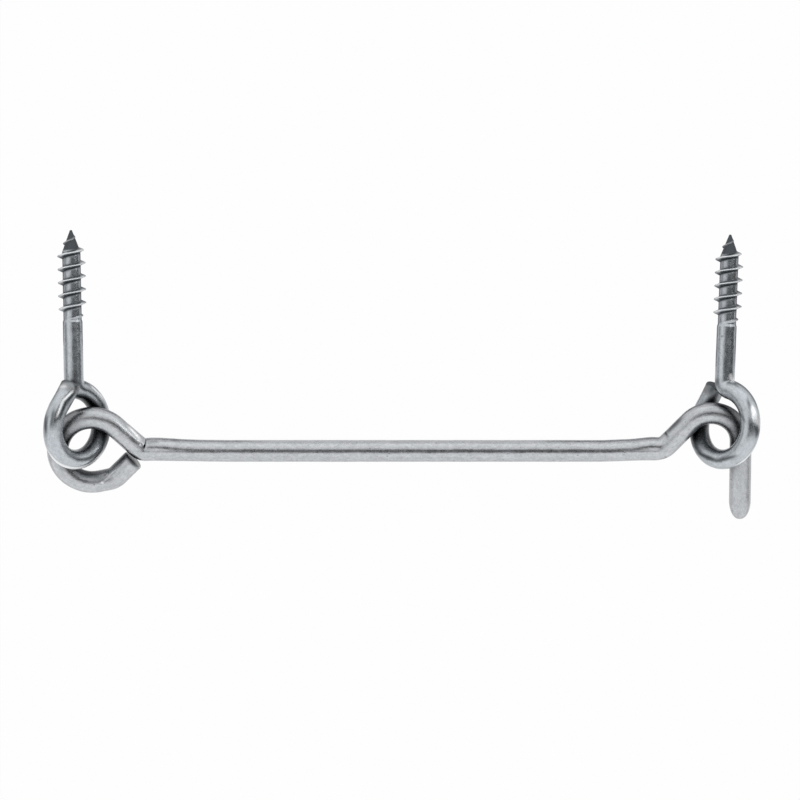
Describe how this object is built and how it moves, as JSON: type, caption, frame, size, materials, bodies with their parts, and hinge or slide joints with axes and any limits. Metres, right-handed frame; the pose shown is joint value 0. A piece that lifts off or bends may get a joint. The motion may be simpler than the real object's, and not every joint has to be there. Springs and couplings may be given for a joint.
{
  "type": "hook and eye latch",
  "caption": "Bent wire hook linked to one wood screw eye and hooked into another, to hold a door, gate or shutter shut.",
  "frame": {"origin": "on the hinge screw's axis, at the surface of the wood it is driven into", "axes": "+X along the hook's bar from the hinge eye to the catch eye; +Y towards the wood, with the screws dipping 20 degrees below it; +Z square to the hook's flat bends, the direction of its turning axes"},
  "size_m": [0.2029, 0.0806, 0.0303],
  "materials": {
    "eye_steel": "satin zinc plating on bent steel wire",
    "hook_steel": "satin zinc plating on bent steel wire"
  },
  "bodies": {
    "hinge_eye": {"hinge_screw_eye": "eye_steel"},
    "hook": {"hook_bar": "hook_steel"},
    "catch_eye": {"catch_screw_eye": "eye_steel"}
  },
  "joints": [
    {"name": "hook_swing", "type": "hinge", "parent": "hinge_eye", "child": "hook", "pos_m": [0.00535, -0.03486, 0.00896], "axis": [0, 0, 1], "range_deg": [-150, 75]},
    {"name": "unhook", "type": "hinge", "parent": "hook", "child": "catch_eye", "pos_m": [0.17175, -0.04126, 0.00896], "axis": [0, 0, 1], "range_deg": [-120, 0]}
  ]
}
